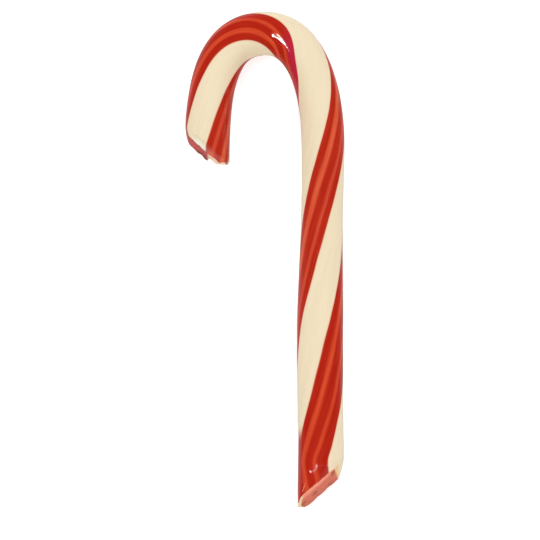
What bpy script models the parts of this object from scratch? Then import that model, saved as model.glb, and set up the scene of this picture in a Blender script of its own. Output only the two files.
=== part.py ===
"""A candy cane: one rope of pulled sugar, lying flat with its broad side up.

The rope is rolled and twisted, bent into a hook while it is warm, and snipped off
slantwise at both ends with blades that squeeze it to a chisel edge. +Z is up, +Y runs
from the foot of the stem to the crown of the hook, and the hook hangs over to -X. The
origin is on the table, in the middle of the box round the cane.
"""

import math

import bmesh
import bpy
import numpy as np
from mathutils import Vector
from mathutils.geometry import interpolate_bezier

# Driving dimensions. Lengths are in millimetres and angles in degrees.
MM = 0.001

# The rope's route on the table: x, y, heading, and the reach of the handles behind and ahead.
KNOTS = [
    (18.0, -73.1, 90.0, 0.0, 15.3),  # cut foot of the stem
    (17.7, -26.7, 90.0, 15.0, 14.6),  # thickest stretch of the stem
    (18.7, 33.1, 89.0, 19.6, 24.4),  # where the hook begins
    (-0.7, 72.9, 182.7, 13.1, 14.6),  # crown
    (-18.6, 33.3, 270.0, 23.4, 0.0),  # cut tip of the hook
]
STEPS_PER_SPAN = 120
OVERRUN = 12.0  # straight run past each end, for the slant of the cut

# Thickness of the hand-rolled rope at shares of its length.
THICKNESS = [
    (0.00, 14.7),
    (0.12, 14.6),
    (0.24, 14.9),
    (0.45, 13.4),
    (0.56, 13.9),
    (0.65, 13.6),
    (0.76, 14.0),
    (0.88, 14.4),
    (1.00, 14.3),
]
SETTLED = 0.15  # how far the warm rope sank onto its underside

# The two snipped ends. The slant turns the cut across the rope, and the lean tips it upwards.
# The acute corner of each cut broke off blunt, this far past the middle of the cut, with a
# lean of its own. The upper flat's slope is given at places across the rope.
FOOT_SLANT = 41.0
FOOT_LEAN = 30.0
FOOT_CORNER = 6.9
FOOT_CORNER_LEAN = 0.0
FOOT_THICKNESS = 7.2
FOOT_TOP_SLOPES = [(-4.5, 36.0), (4.0, 55.0)]
FOOT_DRAWN_IN = (-1.0, 1.7)  # how far the inner and the outer side curl in at the cut
TIP_SLANT = 40.0
TIP_LEAN = 22.0
TIP_CORNER = 3.0
TIP_CORNER_LEAN = 16.0
TIP_THICKNESS = 4.7
TIP_TOP_SLOPES = [(-3.0, 60.0), (3.0, 61.0)]
TIP_DRAWN_IN = (0.3, 1.5)
CORNER_EASE = 0.5  # how softly the blunt corner runs into the cut
UNDER_SLOPE = 50.0  # of the lower flat
PINCH_SHARPNESS = 5  # of the ridge between a flat and the round rope
PINCH_SPREAD = 0.04  # share by which the squeezed rope is wider
SPREAD_REACH = 5.0
SIDE_SHARPNESS = 9
SLANT_REACH = 16.0  # over which the rings turn from square to the cut's slant
CUT_EDGE = 0.5  # radius on the edge of the cut
CUT_RINGS = [0.84, 0.6, 0.35]  # rings in the face of a cut; the skin ends at the first

# Stripes, as degrees of the girth from the left edge of the first red band.
RED_BAND_1 = 87.0
CREAM_BAND_1 = 75.0
RED_BAND_2 = 96.0
LINE_WIDTH = 13.0
LINES_AT = (29.0, 64.0)  # middles of the two light lines in a red band

# Angle of the first red band's left edge at shares of the rope's length.
TWIST = [
    (0.00, -229.0),
    (0.04, -241.0),
    (0.13, -197.0),
    (0.285, -130.0),
    (0.44, -60.0),
    (0.56, 0.0),
    (0.64, 46.0),
    (0.70, 86.0),
    (0.74, 132.0),
    (0.78, 173.0),
    (0.82, 199.0),
    (0.895, 234.0),
    (1.00, 282.0),
]

CREAM = (0.90, 0.78, 0.60, 1.0)
RED = (0.50, 0.035, 0.01, 1.0)
LIGHT_RED = (0.78, 0.15, 0.06, 1.0)
SALMON = (0.68, 0.17, 0.11, 1.0)

SIDES = 36
END_RINGS = [0.0, 0.1, 0.2, 0.35, 0.55, 0.8, 1.2, 1.8, 2.6, 3.6, 4.8, 6.4, 8.4, 11.0, 14.0]
STEM_PITCH = 3.6
HOOK_PITCH = 2.1
HOOK_FROM = 112.0


def along_rope(stations, share):
    """A smooth curve through the stations, read at a share of the rope's length."""
    shares, values = np.array(stations).T
    slopes = np.gradient(values, shares)
    before = np.searchsorted(shares[1:-1], share, side="right")
    after = before + 1
    width = shares[after] - shares[before]
    t = (share - shares[before]) / width
    start = (1.0 + 2.0 * t) * values[before] + t * width * slopes[before]
    end = (3.0 - 2.0 * t) * values[after] + (t - 1.0) * width * slopes[after]
    return (1.0 - t) ** 2 * start + t**2 * end


def held_within(value, limit, sharpness):
    """The value where it is small, levelling off at the limit on either side of 0."""
    excess = (abs(value) / limit) ** sharpness
    return value / (1.0 + excess) ** (1.0 / sharpness)


def ease_above_zero(value):
    """The value where it is well above 0, and 0 where it is well below."""
    return (value + math.hypot(value, CORNER_EASE)) / 2


def turned(angle):
    return Vector((math.cos(math.radians(angle)), math.sin(math.radians(angle)), 0.0))


class Route:
    """The centreline on the table, read by the distance from the foot."""

    def __init__(self):
        points = []
        for near, far in zip(KNOTS, KNOTS[1:]):
            start = Vector((near[0], near[1], 0.0))
            end = Vector((far[0], far[1], 0.0))
            ahead = start + turned(near[2]) * near[4]
            behind = end - turned(far[2]) * far[3]
            points += interpolate_bezier(start, ahead, behind, end, STEPS_PER_SPAN)[:-1]
        points.append(end)
        points.insert(0, points[0] - turned(KNOTS[0][2]) * OVERRUN)
        points.append(points[-1] + turned(KNOTS[-1][2]) * OVERRUN)
        self.points = np.array(points)
        steps = np.linalg.norm(np.diff(self.points, axis=0), axis=1)
        self.distances = np.concatenate(([0.0], np.cumsum(steps))) - OVERRUN
        self.length = self.distances[-1] - OVERRUN

    def at(self, distance):
        x, y = (np.interp(distance, self.distances, self.points[:, i]) for i in (0, 1))
        return Vector((x, y, 0.0))

    def outward(self, distance):
        """Level and square to the rope, towards the outside of the hook."""
        heading = self.at(distance + 0.5) - self.at(distance - 0.5)
        return Vector((heading.y, -heading.x, 0.0)).normalized()


class CutEnd:
    """One snipped end: where it is, which way it faces, and how its blades leant."""

    def __init__(self, distance, facing, slant, lean):
        self.distance = distance
        self.facing = facing
        self.square = math.cos(math.radians(slant))
        self.across = math.tan(math.radians(slant))
        self.lean = math.tan(math.radians(lean))

    def break_corner(self, corner, lean):
        self.corner = corner
        self.corner_lean = math.tan(math.radians(lean))

    def press(self, thickness, top_slopes, drawn_in):
        self.thickness = thickness
        self.top_slopes = top_slopes
        self.drawn_in = drawn_in

    def setback(self, side, height):
        """How far the cut lies behind the rope's end, for a place in the section."""
        upward = height / self.square
        plane = side * self.across + upward * self.lean
        corner = self.corner - upward * self.corner_lean
        return -corner + ease_above_zero(plane + corner)

    def slanted(self, gap):
        """1 at the cut, falling to 0 where the rings are square to the rope."""
        t = min(1.0, gap / SLANT_REACH)
        return 1.0 - t * t * (3.0 - 2.0 * t)

    def held_between_flats(self, gap, depth, side, height):
        """The height once the two blades have pressed their flats."""
        slope = np.interp(side, *zip(*self.top_slopes)) if height > 0.0 else UNDER_SLOPE
        rise = math.tan(math.radians(slope))
        leant = math.copysign(self.slanted(gap) * self.lean, height)
        limit = self.thickness / 2 + depth * rise / (1.0 - leant * rise)
        return held_within(height, limit, PINCH_SHARPNESS)

    def squeezed(self, gap, radius, side, height):
        """The place in the section once the blades have pressed it."""
        edge = math.copysign(self.thickness / 2, height)
        depth = gap - (1.0 - self.slanted(gap)) * self.setback(side, edge)
        depth = max(0.0, depth) * self.square
        height = self.held_between_flats(gap, depth, side, height)
        drawn_in = self.drawn_in[0] if side < 0.0 else self.drawn_in[1]
        side *= 1.0 + PINCH_SPREAD * math.exp(-depth / SPREAD_REACH)
        side_limit = radius * (1.0 + PINCH_SPREAD) - drawn_in + depth
        side = held_within(side, side_limit, SIDE_SHARPNESS)
        rounding = max(0.0, 1.0 - depth / CUT_EDGE)
        inset = CUT_EDGE * (1.0 - math.sqrt(1.0 - rounding * rounding))
        reach = math.hypot(side, height)
        return side * (1.0 - inset / reach), height * (1.0 - inset / reach)


def surface_point(route, ends, distance, angle, share_out):
    """A point of the surface; the angle runs from straight up to the hook's outside."""
    radius = along_rope(THICKNESS, distance / route.length) / 2
    side = radius * math.sin(angle)
    height = radius * math.cos(angle)
    end = min(ends, key=lambda each: abs(each.distance - distance))
    gap = abs(end.distance - distance)
    side, height = end.squeezed(gap, radius, side, height)
    side *= share_out
    height *= share_out
    distance -= end.facing * end.slanted(gap) * end.setback(side, height)
    place = route.at(distance) + route.outward(distance) * side
    place.z = max(0.0, radius - SETTLED + height)
    return place * MM


def ring_distances(length):
    """Close together at the ends and round the hook, and wider along the stem."""
    foot = END_RINGS
    tip = [length - gap for gap in reversed(END_RINGS)]
    stem = np.linspace(foot[-1], HOOK_FROM, round((HOOK_FROM - foot[-1]) / STEM_PITCH) + 1)
    hook = np.linspace(HOOK_FROM, tip[0], round((tip[0] - HOOK_FROM) / HOOK_PITCH) + 1)
    return [*foot, *stem[1:-1], *hook[:-1], *tip]


def add_stripe_map(mesh, distances, length):
    """A UV map whose U runs round the girth with the stripes and V along the rope."""
    layer = mesh.loops.layers.uv.new("stripes")
    for face in mesh.faces:
        rings = [loop.vert.index // SIDES for loop in face.loops]
        sides = [loop.vert.index % SIDES for loop in face.loops]
        wraps = max(sides) - min(sides) > 1
        for loop, ring, side in zip(face.loops, rings, sides):
            turn = (side + (SIDES if wraps and side == 0 else 0)) / SIDES
            share = distances[ring] / length
            loop[layer].uv = turn - along_rope(TWIST, share) / 360.0, share


def add_ring(mesh, route, ends, distance, share_out=1.0):
    """A ring of verts round the rope, or within the face of a cut."""
    ring = []
    for side in range(SIDES):
        angle = math.tau * side / SIDES
        ring.append(mesh.verts.new(surface_point(route, ends, distance, angle, share_out)))
    return ring


def join_rings(mesh, near, far, material):
    for side in range(SIDES):
        after = (side + 1) % SIDES
        face = mesh.faces.new((near[side], near[after], far[after], far[side]))
        face.material_index = material


def add_cut_face(mesh, route, ends, distance, ring):
    """Closes a cut with rings of faces, and quads from top to bottom of the innermost one."""
    for material, share_out in zip((1, 2, 2), CUT_RINGS):
        inner = add_ring(mesh, route, ends, distance, share_out)
        join_rings(mesh, ring, inner, material)
        ring = inner
    quarter = SIDES // 4
    for side in range(-quarter, quarter):
        corners = [side, side + 1, 2 * quarter - side - 1, 2 * quarter - side]
        verts = dict.fromkeys(ring[corner % SIDES] for corner in corners)
        mesh.faces.new(verts).material_index = 2


def rope_mesh():
    route = Route()
    foot = CutEnd(0.0, -1, FOOT_SLANT, FOOT_LEAN)
    foot.break_corner(FOOT_CORNER, FOOT_CORNER_LEAN)
    foot.press(FOOT_THICKNESS, FOOT_TOP_SLOPES, FOOT_DRAWN_IN)
    tip = CutEnd(route.length, 1, TIP_SLANT, TIP_LEAN)
    tip.break_corner(TIP_CORNER, TIP_CORNER_LEAN)
    tip.press(TIP_THICKNESS, TIP_TOP_SLOPES, TIP_DRAWN_IN)
    ends = [foot, tip]
    distances = ring_distances(route.length)
    mesh = bmesh.new()
    rings = [add_ring(mesh, route, ends, distance) for distance in distances]
    for near, far in zip(rings, rings[1:]):
        join_rings(mesh, near, far, 0)
    mesh.verts.index_update()
    add_stripe_map(mesh, distances, route.length)
    add_cut_face(mesh, route, ends, 0.0, rings[0])
    add_cut_face(mesh, route, ends, route.length, rings[-1])
    bmesh.ops.recalc_face_normals(mesh, faces=mesh.faces)
    data = bpy.data.meshes.new("cane")
    mesh.to_mesh(data)
    mesh.free()
    return data


def stripe_colours(ramp):
    """Sets the ramp to cream, with the two red bands and their light lines."""
    stops = []
    for start, width in ((0.0, RED_BAND_1), (RED_BAND_1 + CREAM_BAND_1, RED_BAND_2)):
        stops.append((start, RED))
        for middle in LINES_AT:
            stops.append((start + middle - LINE_WIDTH / 2, LIGHT_RED))
            stops.append((start + middle + LINE_WIDTH / 2, RED))
        stops.append((start + width, CREAM))
    ramp.interpolation = "CONSTANT"
    ramp.elements.remove(ramp.elements[1])
    ramp.elements[0].color = stops[0][1]
    for angle, colour in stops[1:]:
        ramp.elements.new(angle / 360.0).color = colour


def sugar(name, colour):
    material = bpy.data.materials.new(name)
    material.diffuse_color = colour
    material.use_nodes = True
    shader = material.node_tree.nodes["Principled BSDF"]
    shader.inputs["Base Color"].default_value = colour
    shader.inputs["Roughness"].default_value = 0.2
    return material


def striped_sugar():
    material = sugar("striped_sugar", CREAM)
    nodes = material.node_tree.nodes
    links = material.node_tree.links
    stripes = nodes.new("ShaderNodeUVMap")
    stripes.uv_map = "stripes"
    split = nodes.new("ShaderNodeSeparateXYZ")
    girth = nodes.new("ShaderNodeMath")
    girth.operation = "FRACT"
    ramp = nodes.new("ShaderNodeValToRGB")
    stripe_colours(ramp.color_ramp)
    links.new(stripes.outputs["UV"], split.inputs["Vector"])
    links.new(split.outputs["X"], girth.inputs[0])
    links.new(girth.outputs["Value"], ramp.inputs["Fac"])
    links.new(ramp.outputs["Color"], nodes["Principled BSDF"].inputs["Base Color"])
    return material


for old in list(bpy.data.objects):
    bpy.data.objects.remove(old, do_unlink=True)

cane = bpy.data.objects.new("cane", rope_mesh())
bpy.context.scene.collection.objects.link(cane)
cane.data.materials.append(striped_sugar())
cane.data.materials.append(sugar("cut_skin", CREAM))
cane.data.materials.append(sugar("cut_core", SALMON))
cane.data.shade_smooth()
cane.data.set_sharp_from_angle(angle=math.radians(35.0))
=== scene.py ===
"""A candy cane of pulled sugar, snipped at both ends and laid on its broad side."""

import math

import bmesh
import bpy
import numpy as np
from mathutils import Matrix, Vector
from mathutils.geometry import interpolate_bezier


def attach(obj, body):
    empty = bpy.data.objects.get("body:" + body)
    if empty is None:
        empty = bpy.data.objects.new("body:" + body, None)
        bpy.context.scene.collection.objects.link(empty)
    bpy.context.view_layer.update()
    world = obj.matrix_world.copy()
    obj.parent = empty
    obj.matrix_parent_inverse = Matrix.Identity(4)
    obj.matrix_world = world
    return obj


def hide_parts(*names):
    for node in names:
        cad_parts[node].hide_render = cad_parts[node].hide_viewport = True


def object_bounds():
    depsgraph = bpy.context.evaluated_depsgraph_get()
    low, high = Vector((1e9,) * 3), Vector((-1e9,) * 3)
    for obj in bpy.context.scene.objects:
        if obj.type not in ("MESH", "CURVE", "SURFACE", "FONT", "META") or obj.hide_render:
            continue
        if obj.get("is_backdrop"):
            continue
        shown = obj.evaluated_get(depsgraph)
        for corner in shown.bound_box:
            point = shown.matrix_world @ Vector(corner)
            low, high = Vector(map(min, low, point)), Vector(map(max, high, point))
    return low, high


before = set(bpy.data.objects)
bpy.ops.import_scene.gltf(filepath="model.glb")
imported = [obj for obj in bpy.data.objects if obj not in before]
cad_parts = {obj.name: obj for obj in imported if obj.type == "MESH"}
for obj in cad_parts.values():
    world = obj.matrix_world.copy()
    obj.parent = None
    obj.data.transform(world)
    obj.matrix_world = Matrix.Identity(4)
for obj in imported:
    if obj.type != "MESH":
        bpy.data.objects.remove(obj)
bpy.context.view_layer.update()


# The rope. Boiled sugar is pulled until it turns milky, laid with red strips, and rolled out
# by hand. Lengths are in millimetres here. It starts as a straight round bar, with rings of
# faces set into both ends, and is shaped once its twist, its cuts and its bend are known.

MM = 0.001
LINE_POINTS = 900  # from one knot to the next
OVERRUN = 12.0  # straight lengths past both ends, which the slanted cuts reach into
BAR_RADIUS = 7.2
BAR_SIDES = 144
BAR_CUTS = (19, 29)  # the bar in 20 lengths, and each of those in 30
END_FINENESS = 0.6  # how much of their spacing the rings lose towards both ends
CAP_STEPS = [0.12, 0.2, 0.3, 0.4] + [0.48] * 12

KNOTS = [  # x, y, heading, and the reach of the handles behind and ahead
    (18.0, -73.0, 90.0, 0.0, 15.3),  # cut foot of the stem
    (17.7, -26.7, 90.0, 15.0, 14.6),  # thickest stretch of the stem
    (18.7, 33.1, 89.0, 19.6, 24.4),  # where the hook begins
    (-0.7, 72.9, 182.7, 13.1, 14.6),  # crown
    (-18.6, 33.3, 270.0, 23.4, 0.0),  # cut tip of the hook
]


def towards(heading):
    return Vector((math.cos(math.radians(heading)), math.sin(math.radians(heading)), 0.0))


line = []
for near, far in zip(KNOTS, KNOTS[1:]):
    start = Vector((near[0], near[1], 0.0))
    end = Vector((far[0], far[1], 0.0))
    ahead = start + towards(near[2]) * near[4]
    behind = end - towards(far[2]) * far[3]
    line += interpolate_bezier(start, ahead, behind, end, LINE_POINTS)[:-1]
line.append(end)
line.insert(0, line[0] - towards(KNOTS[0][2]) * OVERRUN)
line.append(line[-1] + towards(KNOTS[-1][2]) * OVERRUN)
line = np.array(line)
steps = np.linalg.norm(np.diff(line, axis=0), axis=1)
travelled = np.concatenate(([0.0], np.cumsum(steps))) - OVERRUN
rope_length = travelled[-1] - OVERRUN

bpy.ops.object.select_all(action="DESELECT")
bpy.ops.mesh.primitive_cylinder_add(
    vertices=BAR_SIDES,
    radius=BAR_RADIUS * MM,
    depth=rope_length * MM,
    end_fill_type="NGON",
    rotation=(-math.pi / 2, 0.0, 0.0),
)
cane = bpy.context.object
cane.name = "candy_cane"
cane.data.name = "candy_cane"
bpy.ops.object.transform_apply(location=True, rotation=True, scale=True)
bpy.ops.object.mode_set(mode="EDIT")
bar = bmesh.from_edit_mesh(cane.data)


def select_lengthwise_edges():
    for edge in bar.edges:
        way = edge.verts[1].co - edge.verts[0].co
        edge.select_set(abs(way.y) > 20 * math.hypot(way.x, way.z))
    bmesh.update_edit_mesh(cane.data)


def select_end_faces():
    for face in bar.faces:
        face.select_set(abs(face.normal.y) > 0.9)
    bmesh.update_edit_mesh(cane.data)


bpy.ops.mesh.select_mode(type="EDGE")
for cuts in BAR_CUTS:
    bpy.ops.mesh.select_all(action="DESELECT")
    select_lengthwise_edges()
    bpy.ops.mesh.subdivide(number_cuts=cuts)
bpy.ops.mesh.select_mode(type="FACE")
bpy.ops.mesh.select_all(action="DESELECT")
select_end_faces()
for step in CAP_STEPS:
    bpy.ops.mesh.inset(thickness=step * MM)
bpy.ops.mesh.poke()
bpy.ops.object.mode_set(mode="OBJECT")

places = np.empty(len(cane.data.vertices) * 3, dtype=np.float32)
cane.data.vertices.foreach_get("co", places)
bar_x, bar_y, bar_z = places.reshape(-1, 3).astype(float).T / MM
share_out = np.clip(np.hypot(bar_x, bar_z) / BAR_RADIUS, 0.0, 1.0)  # 1 on the skin
share_out[share_out > 0.999] = 1.0
on_cut = share_out < 1.0
angle = np.arctan2(bar_x, bar_z)  # from straight up towards the hook's outside
even = np.clip(bar_y / rope_length + 0.5, 0.0, 1.0)
distance = rope_length * (even - END_FINENESS * np.sin(math.tau * even) / math.tau)


# The twist and the thickness. The bar is turned as it is rolled, so the red strips wind round
# it, faster where it was bent into the hook. The palms leave it a little uneven, and the
# pulled strands stand as faint ridges that wind with the strips.

THICKNESS = [  # at shares of the length
    (0.00, 14.7),
    (0.12, 14.6),
    (0.24, 14.9),
    (0.45, 13.4),
    (0.56, 13.9),
    (0.65, 13.6),
    (0.76, 14.0),
    (0.88, 14.4),
    (1.00, 14.3),
]
TWIST = [  # angle of the first red strip's left edge, in degrees, by millimetres from the foot
    (-6.0, -214.0),
    (0.0, -229.0),
    (5.0, -238.0),
    (9.0, -241.0),
    (14.0, -229.0),
    (26.0, -197.0),
    (58.0, -130.0),
    (90.0, -60.0),
    (114.0, 0.0),
    (130.0, 46.0),
    (142.0, 86.0),
    (150.0, 132.0),
    (158.0, 173.0),
    (166.0, 199.0),
    (182.0, 234.0),
    (215.0, 309.0),
]
LUMPS_ROUND = (0, 1, 1, 2, 2, 3)  # each is a wave, so many times round the girth
LUMP_LENGTHS = (14.0, 34.0)  # shortest and longest wave along the rope
LUMP_HEIGHT = 0.0125
STRANDS_ROUND = range(7, 34)
STRAND_SWAY = (0.2, 0.8)  # least and most, in radians of the wave
SWAY_LENGTHS = (25.0, 60.0)
STRAND_HEIGHT = 0.00324


def along_rope(stations, place):
    """A smooth curve through the stations, read at a place along the rope."""
    stops, values = np.array(stations).T
    slopes = np.gradient(values, stops)
    before = np.searchsorted(stops[1:-1], place, side="right")
    after = before + 1
    width = stops[after] - stops[before]
    t = (place - stops[before]) / width
    first = (1.0 + 2.0 * t) * values[before] + t * width * slopes[before]
    last = (3.0 - 2.0 * t) * values[after] + (t - 1.0) * width * slopes[after]
    return (1.0 - t) ** 2 * first + t**2 * last


chance = np.random.default_rng(11)
strip_angle = angle - np.radians(along_rope(TWIST, distance))
lumps = np.zeros_like(angle)
for waves in LUMPS_ROUND:
    wavelength = chance.uniform(*LUMP_LENGTHS)
    phase = chance.uniform(0.0, math.tau)
    lumps += np.cos(waves * angle + math.tau * distance / wavelength + phase)
strands = np.zeros_like(angle)
for waves in STRANDS_ROUND:
    reach = chance.uniform(*STRAND_SWAY)
    wavelength = chance.uniform(*SWAY_LENGTHS)
    phase = chance.uniform(0.0, math.tau)
    sway = reach * np.sin(math.tau * distance / wavelength + phase)
    strands += np.cos(waves * strip_angle + chance.uniform(0.0, math.tau) + sway)
round_radius = along_rope(THICKNESS, distance / rope_length) / 2
radius = round_radius + LUMP_HEIGHT * lumps + STRAND_HEIGHT * strands


# The snipped ends. Blades cut the warm rope slantwise and squeeze it to a chisel edge. The
# two pressed flats meet the round rope at a ridge, and the acute corner broke off blunt.

FOOT_CUT = {
    "at": 0.0,
    "facing": -1,
    "slant": 41.0,  # degrees from square across the rope
    "lean": 30.0,  # degrees from upright
    "corner": 6.9,  # how far the acute corner reaches before the blunt break
    "corner_lean": 0.0,
    "thickness": 7.8,  # left between the two flats
    "top_slopes": [  # degrees of the upper flat, at places across the rope
        (-5.5, 32.0),
        (-4.3, 27.0),
        (-3.5, 28.0),
        (-1.5, 44.0),
        (0.1, 49.0),
        (0.45, 58.0),
    ],
    "drawn_in": (-1.0, 1.6),  # how far the inner and the outer side curl in
    "chip": 0.0,  # broken off the lower edge of the inner half
}
TIP_CUT = {
    "at": rope_length,
    "facing": 1,
    "slant": 40.0,
    "lean": 22.0,
    "corner": 3.0,
    "corner_lean": 16.0,
    "thickness": 4.7,
    "top_slopes": [(-3.0, 66.0), (3.0, 66.5)],
    "drawn_in": (0.3, 1.5),
    "chip": 1.3,
}
CORNER_EASE = 0.5  # rounding between the cut and its blunt corner
UNDER_SLOPE = 50.0  # degrees of the lower flats
PINCH_SHARPNESS = 9  # of the ridges where the flats meet the round rope
PINCH_SPREAD = 0.04  # share by which the pressed rope is wider
SPREAD_REACH = 5.0
SIDE_SHARPNESS = 14  # of the bends where the sides curl in
SLANT_REACH = 16.0  # the rings lean with the cut up to here, and stand square beyond
CUT_EDGE = 0.2  # rounding along the rim of the cut
BREAK_LENGTHS = (5.0, 3.6, 2.8, 2.1, 1.7, 1.3, 1.0, 0.8)  # waves of the ragged break
BREAK_HEIGHT = 0.02  # for each millimetre of a wave's length
BREAK_REACH = 0.8  # how deep the ragged break goes
CHIP_SIDE = (-0.5, -0.1)  # the chip ends between these places across the rope
CHIP_REACH = 1.2
MIDDLE = 0.1  # so that nothing is divided by 0 in the middle of the cut


def held_within(value, limit, sharpness):
    """The value where it is small, levelling off at the limit on either side of 0."""
    excess = (np.abs(value) / limit) ** sharpness
    return value / (1.0 + excess) ** (1.0 / sharpness)


def eased(share):
    """0 up to 0, 1 from 1 on, and smooth between."""
    share = np.clip(share, 0.0, 1.0)
    return share * share * (3.0 - 2.0 * share)


def setback(cut, side, height):
    """How far the cut lies behind the rope's end, for a place in the section."""
    slant = math.radians(cut["slant"])
    upward = height / math.cos(slant)
    plane = side * math.tan(slant) + upward * math.tan(math.radians(cut["lean"]))
    corner = cut["corner"] - upward * math.tan(math.radians(cut["corner_lean"]))
    return -corner + (plane + corner + np.hypot(plane + corner, CORNER_EASE)) / 2


def ragged(side, height):
    """The uneven break of the cut, in millimetres, for a place in the section."""
    waves = np.random.default_rng(5)
    break_off = np.zeros_like(side)
    for wavelength in BREAK_LENGTHS:
        way = waves.uniform(0.0, math.tau)
        along_wave = side * math.cos(way) + height * math.sin(way)
        phase = waves.uniform(0.0, math.tau)
        break_off += wavelength * np.sin(math.tau * along_wave / wavelength + phase)
    return BREAK_HEIGHT * break_off


def chipped(cut, side, height):
    """How much of the lower edge of the inner half is missing."""
    low_down = eased(0.5 - height / cut["thickness"])
    outward = (side - CHIP_SIDE[0]) / (CHIP_SIDE[1] - CHIP_SIDE[0])
    return cut["chip"] * low_down * (1.0 - eased(outward))


def snipped(cut, near, distance, side, height):
    """Distance, side and height once the blades have pressed the rope at this end."""
    gap = np.abs(distance - cut["at"])
    slanted = 1.0 - eased(gap / SLANT_REACH)
    edge = np.sign(height) * cut["thickness"] / 2
    depth = gap - (1.0 - slanted) * setback(cut, side, edge)
    depth = np.maximum(0.0, depth) * math.cos(math.radians(cut["slant"]))
    slope = np.where(height > 0.0, np.interp(side, *zip(*cut["top_slopes"])), UNDER_SLOPE)
    slope = np.tan(np.radians(slope))
    leant = np.sign(height) * slanted * math.tan(math.radians(cut["lean"]))
    limit = cut["thickness"] / 2 + depth * slope / (1.0 - leant * slope)
    pressed = held_within(height, limit, PINCH_SHARPNESS)
    spread = side * (1.0 + PINCH_SPREAD * np.exp(-depth / SPREAD_REACH))
    drawn_in = np.where(side < 0.0, cut["drawn_in"][0], cut["drawn_in"][1])
    side_limit = radius * (1.0 + PINCH_SPREAD) - drawn_in + depth
    spread = held_within(spread, side_limit, SIDE_SHARPNESS)
    rounding = np.maximum(0.0, 1.0 - depth / CUT_EDGE)
    inset = CUT_EDGE * (1.0 - np.sqrt(1.0 - rounding * rounding))
    kept = share_out * (1.0 - inset / np.maximum(np.hypot(spread, pressed), MIDDLE))
    pressed = pressed * kept
    spread = spread * kept
    broken = ragged(spread, pressed) * np.exp(-depth / BREAK_REACH)
    broken = broken - chipped(cut, spread, pressed) * np.exp(-depth / CHIP_REACH)
    moved = distance + cut["facing"] * (broken - slanted * setback(cut, spread, pressed))
    return (
        np.where(near, moved, distance),
        np.where(near, spread, side),
        np.where(near, pressed, height),
    )


side = radius * np.sin(angle)
height = radius * np.cos(angle)
rope_distance = distance
for cut in (FOOT_CUT, TIP_CUT):
    near = np.abs(rope_distance - cut["at"]) < rope_length / 2
    distance, side, height = snipped(cut, near, distance, side, height)


# The bend. The rope is laid on the table and curved into its hook while it is still warm, so
# a narrow strip along its underside settles flat. Two attributes keep each point's place on
# the straight rope, for the sugar's colours to follow.

SETTLED = 0.15  # how deep the underside is flattened
NEARBY = 0.5  # how far each way the heading is read
SHARP_EDGE = 40.0  # degrees


def on_line(distance):
    return np.stack([np.interp(distance, travelled, line[:, i]) for i in (0, 1)])


def keep(name, values):
    attribute = cane.data.attributes.new(name, "FLOAT_VECTOR", "POINT")
    attribute.data.foreach_set("vector", np.stack(values).T.ravel())


heading = on_line(distance + NEARBY) - on_line(distance - NEARBY)
heading /= np.linalg.norm(heading, axis=0)
across = np.stack([heading[1], -heading[0]])
x, y = on_line(distance) + across * side
z = np.maximum(0.0, round_radius - SETTLED + height)
cane.data.vertices.foreach_set("co", (np.stack([x, y, z]).T * MM).ravel())
strip_angle = angle - np.radians(along_rope(TWIST, distance))
east = share_out * np.cos(strip_angle)
north = share_out * np.sin(strip_angle)
keep("girth", [east, north, distance / BAR_RADIUS])
keep("section", [side, height, even])
cane.data.update()

bpy.ops.object.mode_set(mode="EDIT")
bpy.ops.mesh.select_all(action="SELECT")
bpy.ops.mesh.normals_make_consistent(inside=False)
bpy.ops.object.mode_set(mode="OBJECT")
bpy.ops.object.shade_smooth_by_angle(angle=math.radians(SHARP_EDGE))
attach(cane, "root")
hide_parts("cane")


# The striped sugar. Two red strips wind round the cream body, each with two lighter lines
# where a thin cream thread lies under the red. The skin is hard, clear and glossy, with a few
# marks: a smear at the foot and wrinkles by the crown. A bluish edge by the crown is painted
# sheen, and on the tip's flat lie a painted highlight and a lighter red patch.

CREAM = (0.845, 0.72, 0.505, 1.0)
PEACH = (0.87, 0.66, 0.46, 1.0)
FIRST_RED = (0.48, 0.026, 0.010, 1.0)
SECOND_RED = (0.46, 0.020, 0.008, 1.0)
STRIPS = [  # start and end in degrees, red, and two light lines: middle, width, colour
    (
        2.0,
        87.0,
        FIRST_RED,
        [(30.0, 15.0, (0.72, 0.110, 0.046, 1.0)), (64.0, 11.0, (0.63, 0.072, 0.034, 1.0))],
    ),
    (
        161.5,
        257.0,
        SECOND_RED,
        [(189.5, 14.0, (0.68, 0.075, 0.026, 1.0)), (225.0, 12.0, (0.63, 0.062, 0.022, 1.0))],
    ),
]
PEACH_EDGE = 6.0  # degrees outside a strip's edge, where a trace of red ends in the cream
SHARP_STRIP = 1.2  # degrees to either side of the edge, from peach to red
LINE_CORE = 0.22  # shares of a light line's width to either side of its middle
LINE_FADE = 0.72
SEAM = -50.0  # the ramp starts in the middle of the wider cream strip
WANDER = 5.0  # degrees by which the strips' edges wander
SUGAR_IOR = 1.5
SKIN_RELIEF = 0.2

STREAKED = (0.72, 0.55, 0.45, 1.0)
DEEPENED = (0.80, 0.50, 0.50, 1.0)
# The next colour is a painted sheen: a bluish tint for the light the red skin mirrors by the
# crown.
PAINTED_SHEEN_RED = (0.52, 0.020, 0.055, 1.0)
# The next colour is a painted highlight, screened over the cream of the tip's flat.
PAINTED_TIP_HIGHLIGHT = (0.20, 0.52, 0.40, 1.0)
LIGHTER_TIP_RED = (0.80, 0.12, 0.06, 1.0)

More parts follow.
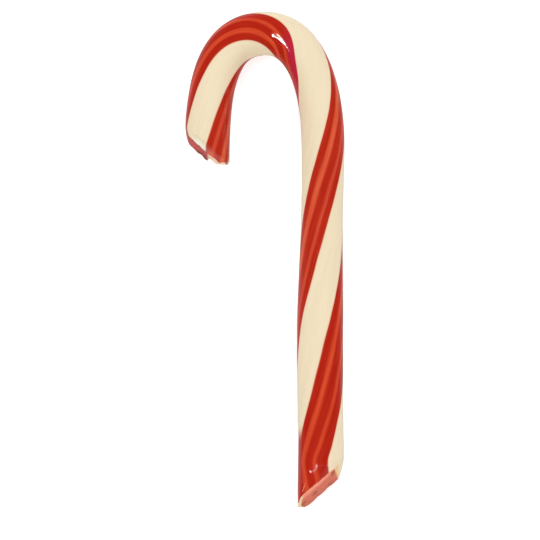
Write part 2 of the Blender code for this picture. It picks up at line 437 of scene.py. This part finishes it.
# Places of the marks: along the rope in bar radii from the foot, and round it in degrees from
# the seam. Each start and each end is a pair, over which the mark comes or goes.
SMEAR_END = (2.0, 2.9)
SMEAR_ROUND = ((190.0, 194.0), (212.0, 214.0))
PAINTED_SHEEN_ALONG = ((16.6, 17.8), (19.9, 21.0))
PAINTED_SHEEN_ROUND = ((276.0, 290.0), (307.0, 308.5))
WRINKLE_SLANT = 24.5  # degrees round for each bar radius along
WRINKLED_ALONG = ((18.9, 19.6), (21.0, 21.9))
WRINKLED_SLANTWISE = ((764.0, 774.0), (796.0, 804.0))
TIP_ALONG = (0.984, 0.990)  # share of the bar's rings
TIP_HIGHLIGHT_ACROSS = ((0.0, 0.6), (3.2, 5.6))  # from here on in millimetres
TIP_HIGHLIGHT_UP = (4.6, 6.6)
LIGHTER_RED_ACROSS = ((-3.4, -1.6), (-0.4, 0.1))
LIGHTER_RED_UP = (3.2, 5.2)


class Value:
    """A socket of a material's nodes. Sums on it add Math nodes."""

    def __init__(self, tree, socket=None):
        self.tree = tree
        self.socket = socket

    def node(self, kind, settings, inputs, output=0):
        """A new node: its settings are made first, then its sockets, by order or by name."""
        node = self.tree.nodes.new(kind)
        for name, setting in settings.items():
            setattr(node, name, setting)
        for key, given in inputs.items() if isinstance(inputs, dict) else enumerate(inputs):
            if isinstance(given, Value):
                self.tree.links.new(given.socket, node.inputs[key])
            else:
                node.inputs[key].default_value = given
        return Value(self.tree, node.outputs[output])

    def math(self, operation, *values):
        return self.node("ShaderNodeMath", {"operation": operation}, values)

    def __add__(self, other):
        return self.math("ADD", self, other)

    def __radd__(self, other):
        return self.math("ADD", other, self)

    def __sub__(self, other):
        return self.math("SUBTRACT", self, other)

    def __rsub__(self, other):
        return self.math("SUBTRACT", other, self)

    def __mul__(self, other):
        return self.math("MULTIPLY", self, other)

    def __rmul__(self, other):
        return self.math("MULTIPLY", other, self)

    def __truediv__(self, other):
        return self.math("DIVIDE", self, other)

    def __rtruediv__(self, other):
        return self.math("DIVIDE", other, self)

    def changing(self, low, high, below, above):
        settings = {"interpolation_type": "SMOOTHSTEP"}
        return self.node("ShaderNodeMapRange", settings, [self, low, high, below, above])

    def rising(self, low, high):
        """0 below low and 1 above high, smoothly between."""
        return self.changing(low, high, 0.0, 1.0)

    def falling(self, low, high):
        """1 below low and 0 above high, smoothly between."""
        return self.changing(low, high, 1.0, 0.0)

    def between(self, start, end):
        """1 from start to end, each a pair over which it changes, and 0 outside them."""
        return self.rising(*start) * self.falling(*end)

    def stretched(self, *scales):
        return self.node("ShaderNodeVectorMath", {"operation": "MULTIPLY"}, [self, scales])

    def noise(self, scale, detail):
        inputs = {"Vector": self, "Scale": scale, "Detail": detail}
        return self.node("ShaderNodeTexNoise", {}, inputs)

    def parts(self):
        split = self.node("ShaderNodeSeparateXYZ", {}, [self]).socket.node
        return [Value(self.tree, output) for output in split.outputs]

    def mix(self, factor, first, second, blend="MIX"):
        settings = {"data_type": "RGBA", "blend_type": blend, "clamp_factor": True}
        return self.node("ShaderNodeMix", settings, {0: factor, 6: first, 7: second}, 2)

    def attribute(self, name):
        return self.node("ShaderNodeAttribute", {"attribute_name": name}, {}, "Vector")


def strip_stops():
    stops = [(SEAM, CREAM)]
    for start, end, red, lines in STRIPS:
        stops += [(start - PEACH_EDGE, CREAM), (start - SHARP_STRIP, PEACH)]
        stops += [(start + SHARP_STRIP, red)]
        for middle, width, light in lines:
            stops += [(middle - width * LINE_FADE, red), (middle - width * LINE_CORE, light)]
            stops += [(middle + width * LINE_CORE, light), (middle + width * LINE_FADE, red)]
        stops += [(end - SHARP_STRIP, red), (end + SHARP_STRIP, PEACH)]
        stops += [(end + PEACH_EDGE, CREAM)]
    return stops


def strips_round(girth_place):
    """The strips' colour, degrees round the girth from the seam, and radii along the rope."""
    east, north, run = girth_place.parts()
    wander = girth_place.stretched(1.0, 1.0, 0.5).noise(1.3, 1.0)
    degrees = north.math("ARCTAN2", north, east) * (180.0 / math.pi)
    degrees = degrees + (wander - 0.5) * WANDER - SEAM
    degrees = degrees.math("WRAP", degrees, 360.0, 0.0)
    stripes = degrees.node("ShaderNodeValToRGB", {}, [degrees / 360.0])
    ramp = stripes.socket.node.color_ramp
    ramp.elements.remove(ramp.elements[1])
    for index, (stop, colour) in enumerate(strip_stops()):
        element = ramp.elements.new((stop - SEAM) / 360.0) if index else ramp.elements[0]
        element.color = colour
    return stripes, degrees, run


def new_sugar(name):
    """A material on the cane, as the Value that its nodes start from."""
    material = bpy.data.materials.new(name)
    material.use_nodes = True
    cane.data.materials.append(material)
    return Value(material.node_tree)


def finish(sugar, colour, relief, relief_height, roughness, specular):
    """Joins a sugar's colour and its relief to its shader, and sets how it shines."""
    heights = {"Distance": relief_height * MM, "Height": relief}
    bump = sugar.node("ShaderNodeBump", {}, heights)
    shader = sugar.tree.nodes["Principled BSDF"]
    sugar.tree.links.new(colour.socket, shader.inputs["Base Color"])
    sugar.tree.links.new(bump.socket, shader.inputs["Normal"])
    shader.inputs["Roughness"].default_value = roughness
    shader.inputs["IOR"].default_value = SUGAR_IOR
    shader.inputs["Specular IOR Level"].default_value = specular


skin = new_sugar("striped_sugar")
girth_place = skin.attribute("girth")
stripes, degrees, run = strips_round(girth_place)
pulled = girth_place.stretched(1.0, 1.0, 0.05).noise(14.0, 3.0)
streaks = girth_place.stretched(1.0, 1.0, 0.12).noise(5.0, 4.0)
fine_streaks = girth_place.stretched(1.0, 1.0, 0.06).noise(9.0, 3.0)
on_red = stripes.parts()[1].falling(0.15, 0.30)
colour = skin.mix(streaks.rising(0.40, 0.75) * 0.10, stripes, STREAKED, "MULTIPLY")
colour = skin.mix(fine_streaks.rising(0.44, 0.60) * on_red * 0.45, colour, DEEPENED, "MULTIPLY")
smeared = run.falling(*SMEAR_END) * degrees.between(*SMEAR_ROUND)
colour = skin.mix(smeared, colour, SECOND_RED)
# Painted sheen: a bluish tint on the red strip by the crown, for the light the glossy skin
# mirrors there.
painted_sheen = run.between(*PAINTED_SHEEN_ALONG) * degrees.between(*PAINTED_SHEEN_ROUND)
colour = skin.mix(painted_sheen * 0.8, colour, PAINTED_SHEEN_RED)

across, up, along = skin.attribute("section").parts()
on_tip_flat = along.rising(*TIP_ALONG) * up.rising(0.0, 1.0)
# Painted highlight: the cream of the tip's upper flat is screened paler near the cut, for the
# light it mirrors there.
painted_tip_highlight = on_tip_flat * across.between(*TIP_HIGHLIGHT_ACROSS)
painted_tip_highlight = painted_tip_highlight * (up + streaks * 2.0).falling(*TIP_HIGHLIGHT_UP)
colour = skin.mix(painted_tip_highlight, colour, PAINTED_TIP_HIGHLIGHT, "SCREEN")
# A lighter red patch on the tip's upper flat, near the cut.
lighter_tip_red = on_tip_flat * across.between(*LIGHTER_RED_ACROSS) * up.falling(*LIGHTER_RED_UP)
colour = skin.mix(lighter_tip_red * 0.6, colour, LIGHTER_TIP_RED)

slantwise = degrees + run * WRINKLE_SLANT
wrinkled = run.between(*WRINKLED_ALONG) * slantwise.between(*WRINKLED_SLANTWISE)
wrinkles = skin.node("ShaderNodeCombineXYZ", {}, [slantwise / 6.0, run * 0.5]).noise(1.0, 1.0)
relief = pulled * 0.10 + wrinkles * wrinkled * 1.3
finish(skin, colour, relief, SKIN_RELIEF, roughness=0.08, specular=0.35)


# The cut faces. Snapped sugar is paler and duller than the skin: a salmon core where the red
# bled into the cream, with a painted highlight along its upper edge, brown patches and a thin
# rim of skin. The blades dragged red skin over the outer half of the hook's cut.

CORE = (0.74, 0.18, 0.105, 1.0)
CORE_DARK = (0.64, 0.145, 0.085, 1.0)
# A painted highlight, for the core towards the cut's upper edge.
CORE_PAINTED_HIGHLIGHT = (0.95, 0.28, 0.185, 1.0)
CORE_LOW = (0.62, 0.135, 0.095, 1.0)
BROWN = (0.42, 0.11, 0.035, 1.0)
GOLDEN = (0.86, 0.58, 0.30, 1.0)
DRAGGED = (0.56, 0.090, 0.082, 1.0)
DRAGGED_LOW = (0.28, 0.045, 0.040, 1.0)
TIP_CREAM = (0.92, 0.66, 0.46, 1.0)
BROWN_PATCHES = [  # across the foot's cut, up it, half width and half height, in millimetres
    (-1.9, -0.7, 0.8, 0.6),
    (2.9, -2.1, 0.9, 0.6),
    (3.8, 1.8, 0.7, 1.4),
    (-5.9, -1.1, 1.2, 0.9),
]
GRAIN_RELIEF = 0.3

# Where one colour gives way to another, in millimetres up or across the cut.
UPPER_EDGE = (0.7, 2.8)
LOWER_EDGE = (-3.0, -1.2)
OUTER_CORNER = (4.6, 5.2)
DRAGGED_FROM = (-0.6, 0.2)
DRAGGED_LOW_SIDE = (2.0, 4.5)
DRAGGED_LOW_UP = (-1.4, 0.4)
TIP_BROWN = (-6.2, -5.4)
RIM = (0.91, 0.95)  # in shares of the way out to the skin

cut_sugar = new_sugar("cut_sugar")
girth_place = cut_sugar.attribute("girth")
cut_place = cut_sugar.attribute("section")
stripes = strips_round(girth_place)[0]
flat_place = girth_place.stretched(1.0, 1.0, 0.0)
out = cut_sugar.node("ShaderNodeVectorMath", {"operation": "LENGTH"}, [flat_place], "Value")
across, up, on_tip = cut_place.parts()
blotch = cut_place.noise(0.9, 3.0) - 0.5
grain = cut_place.noise(2.6, 4.0)
uneven_up = up + blotch * 1.5
core = cut_sugar.mix(grain.rising(0.35, 0.65), CORE_DARK, CORE)
# Painted highlight: the core is lighter towards the cut's upper edge.
core = cut_sugar.mix(uneven_up.rising(*UPPER_EDGE), core, CORE_PAINTED_HIGHLIGHT)
core = cut_sugar.mix(uneven_up.falling(*LOWER_EDGE), core, CORE_LOW)
# Brown patches across the foot's cut.
for patch_across, patch_up, half_width, half_height in BROWN_PATCHES:
    aside = (across - patch_across) / half_width
    above = (up - patch_up) / half_height
    from_patch = aside * aside + above * above + (grain - 0.5) * 2.0
    core = cut_sugar.mix(from_patch.falling(0.5, 1.4), core, BROWN)
outer_corner = across + up * 0.2 + blotch * 1.2
core = cut_sugar.mix(outer_corner.rising(*OUTER_CORNER), core, GOLDEN)
rim = (out - across * 0.012 + blotch * 0.10).rising(*RIM)
foot_colour = cut_sugar.mix(rim, core, cut_sugar.mix(0.6, stripes, GOLDEN))

tip_side = across + blotch * 1.2
low_down = (up + blotch * 1.2).falling(*DRAGGED_LOW_UP) * tip_side.falling(*DRAGGED_LOW_SIDE)
dragged = cut_sugar.mix(low_down, DRAGGED, DRAGGED_LOW)
tip_colour = cut_sugar.mix(tip_side.rising(*DRAGGED_FROM), TIP_CREAM, dragged)
# A brown patch at the far side of the hook's cut.
tip_colour = cut_sugar.mix(tip_side.falling(*TIP_BROWN), tip_colour, BROWN)
colour = cut_sugar.mix(on_tip, foot_colour, tip_colour)
finish(cut_sugar, colour, grain, GRAIN_RELIEF, roughness=0.5, specular=0.25)

for polygon in cane.data.polygons:
    polygon.material_index = int(any(on_cut[point] for point in polygon.vertices))


# The table. A wide white board, which glows so evenly that the cane throws hardly a shadow.
# The sugar mirrors it only dimly: a little of it close by, and a dark room further off.

TABLE_RADIUS = 3.0
BOARD_WHITE = (0.7, 0.7, 0.7, 1.0)
BOARD_GLOW = 0.6
DIM_ROOM = (0.16, 0.16, 0.16, 1.0)
CLOSE_BY = (0.015, 0.035)  # metres, as all places and sizes are from here on
MIRRORED_DIM = 0.7  # share of the dim room in what the sugar mirrors close by

bpy.ops.object.select_all(action="DESELECT")
bpy.ops.mesh.primitive_circle_add(vertices=64, radius=TABLE_RADIUS, fill_type="NGON")
table = bpy.context.object
table.name = "table"
white = bpy.data.materials.new("white_board")
white.use_nodes = True
shader = white.node_tree.nodes["Principled BSDF"]
shader.inputs["Base Color"].default_value = BOARD_WHITE
shader.inputs["Roughness"].default_value = 1.0
shader.inputs["Specular IOR Level"].default_value = 0.0
shader.inputs["Emission Color"].default_value = (1.0, 1.0, 1.0, 1.0)
shader.inputs["Emission Strength"].default_value = BOARD_GLOW
board = Value(white.node_tree)
seen = Value(white.node_tree, shader.outputs["BSDF"])
dim = board.node("ShaderNodeBsdfDiffuse", {}, {"Color": DIM_ROOM})
mirrored = board.node("ShaderNodeLightPath", {}, {}, "Is Glossy Ray")
way_off = board.node("ShaderNodeLightPath", {}, {}, "Ray Length").rising(*CLOSE_BY)
mirrored = mirrored * (way_off * (1.0 - MIRRORED_DIM) + MIRRORED_DIM)
mixed = board.node("ShaderNodeMixShader", {}, [mirrored, seen, dim])
output = white.node_tree.nodes["Material Output"]
white.node_tree.links.new(mixed.socket, output.inputs["Surface"])
table.data.materials.append(white)
table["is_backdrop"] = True


# The lights. An even glow from all round and three soft lamps light the sugar, which mirrors
# none of them. Five small lamps are seen only as glints: two on the wrinkles by the crown, and
# three along the ridge above the foot's cut.

GLOW = 0.55
SOFT_LAMPS = [  # name, place, width, power
    ("softbox", (-0.30, 0.28, 1.12), 0.50, 3.2),
    ("back", (0.05, 0.85, 0.60), 0.40, 2.8),
    ("fill", (0.16, -0.62, 0.64), 0.40, 2.3),
]
WRINKLES = (0.0056, 0.0706, 0.0137)
RIDGE_MIDDLE = (0.0168, -0.0655, 0.0142)
RIDGE_LEFT = (0.0155, -0.0670, 0.0137)
RIDGE_RIGHT = (0.0205, -0.0680, 0.012)
GLINT_LAMPS = [  # name, place, aim, width, height, power, spread in degrees
    ("glint_crown", (-0.101, -0.190, 0.654), WRINKLES, 0.040, 0.040, 0.0040, 3.0),
    ("glow_crown", (-0.100, -0.150, 0.680), WRINKLES, 0.120, 0.120, 0.0040, 3.0),
    ("glint_foot", (-0.0062, -0.0840, 0.0664), RIDGE_MIDDLE, 0.009, 0.006, 0.00009, 7.0),
    ("glow_foot", (-0.043, -0.126, 0.099), RIDGE_LEFT, 0.006, 0.044, 0.0013, 30.0),
    ("side_foot", (0.0800, -0.113, 0.0755), RIDGE_RIGHT, 0.006, 0.040, 0.0021, 30.0),
]

world = bpy.data.worlds.new("studio")
bpy.context.scene.world = world
world.use_nodes = True
background = world.node_tree.nodes["Background"]
background.inputs["Color"].default_value = (1.0, 1.0, 1.0, 1.0)
background.inputs["Strength"].default_value = GLOW
world.cycles_visibility.glossy = False


def add_lamp(name, place, aim, size, power):
    lamp = bpy.data.lights.new(name, "AREA")
    lamp.shape = "DISK"
    lamp.size = size
    lamp.energy = power
    held = bpy.data.objects.new(name, lamp)
    bpy.context.scene.collection.objects.link(held)
    held.location = place
    held.rotation_euler = (Vector(aim) - Vector(place)).to_track_quat("-Z", "Y").to_euler()
    return held


for name, place, width, power in SOFT_LAMPS:
    soft = add_lamp(name, place, (0.0, 0.0, 0.0), width, power)
    soft.visible_glossy = False
for name, place, aim, wide, high, power, spread in GLINT_LAMPS:
    glint = add_lamp(name, place, aim, wide, power)
    glint.data.shape = "ELLIPSE"
    glint.data.size_y = high
    glint.data.spread = math.radians(spread)
    glint.visible_diffuse = False


# The camera. It hangs over the middle of the table and looks straight down on the cane's
# broad side, through a long lens.

CAMERA_PLACE = (0.0016, -0.0032, 0.731)
LENS = 150.0
FILM_WIDTH = 36.0

optics = bpy.data.cameras.new("camera")
optics.lens = LENS
optics.sensor_width = FILM_WIDTH
camera = bpy.data.objects.new("camera", optics)
bpy.context.scene.collection.objects.link(camera)
camera.location = CAMERA_PLACE
bpy.context.scene.camera = camera
bpy.context.scene.view_settings.view_transform = "Standard"

low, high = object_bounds()
